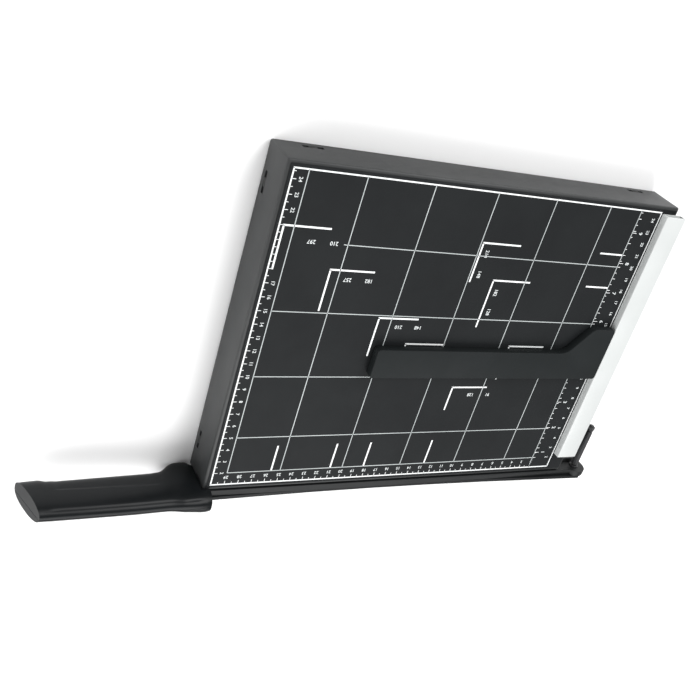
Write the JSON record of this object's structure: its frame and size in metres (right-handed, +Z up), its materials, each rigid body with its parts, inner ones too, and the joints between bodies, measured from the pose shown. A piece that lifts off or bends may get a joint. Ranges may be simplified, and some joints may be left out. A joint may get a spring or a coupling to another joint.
{
  "type": "guillotine paper cutter",
  "caption": "Guillotine paper cutter: folded steel bed with a printed grid, lower blade, hinged knife arm with a moulded handle, fence and sliding paper guide.",
  "frame": {"origin": "middle of the object's bounding box, on the table, with the knife arm closed", "axes": "+X points past the cutting edge, +Y from the user to the fence and the pivot, +Z up"},
  "size_m": [0.2626, 0.471, 0.0448],
  "materials": {
    "black_paint": "satin black powder coat on sheet steel",
    "printed_film": "satin black film printed in white",
    "blade_steel": "satin black paint, bare ground cutting edge",
    "white_plastic": "satin white extrusion",
    "black_plastic": "fine matt moulded texture",
    "handle_plastic": "moulded, semi-gloss",
    "foot_rubber": "matt",
    "zinc": "zinc plated",
    "black_oxide": "black oxide",
    "magnet": "matt ferrite"
  },
  "bodies": {
    "base": {"base_tray": "black_paint", "grid_sheet": "printed_film", "fixed_blade": "blade_steel", "pivot_bracket": "black_paint", "fence": "white_plastic", "pivot_spring": "black_oxide", "pivot_washer_inner": "black_oxide", "foot_front_left": "foot_rubber", "foot_front_right": "foot_rubber", "foot_rear_left": "foot_rubber", "foot_rear_right": "foot_rubber", "fixed_blade_screw_1": "zinc", "fixed_blade_screw_2": "zinc", "fixed_blade_screw_3": "zinc", "fixed_blade_screw_4": "zinc", "bracket_wall_screw_1": "zinc", "bracket_side_screw_1": "zinc", "bracket_wall_screw_2": "zinc", "bracket_side_screw_2": "zinc", "fence_screw_1": "zinc", "fence_screw_2": "zinc", "fence_screw_3": "zinc"},
    "arm": {"cutting_arm": "blade_steel", "handle_left": "handle_plastic", "handle_right": "handle_plastic", "handle_screw_1": "zinc", "handle_screw_2": "zinc", "pivot_bolt": "black_oxide", "pivot_washer_outer": "black_oxide", "pivot_nut": "black_oxide"},
    "guide": {"paper_guide": "black_plastic", "guide_magnet_1": "magnet", "guide_magnet_2": "magnet", "guide_magnet_3": "magnet"}
  },
  "joints": [
    {"name": "arm_hinge", "type": "hinge", "parent": "base", "child": "arm", "pos_m": [0.1207, 0.2255, 0.0268], "axis": [-1, 0, 0], "range_deg": [0, 70]},
    {"name": "guide_slide", "type": "slide", "parent": "base", "child": "guide", "axis": [1, 0, 0], "range_m": [-0.095, 0.078]}
  ]
}
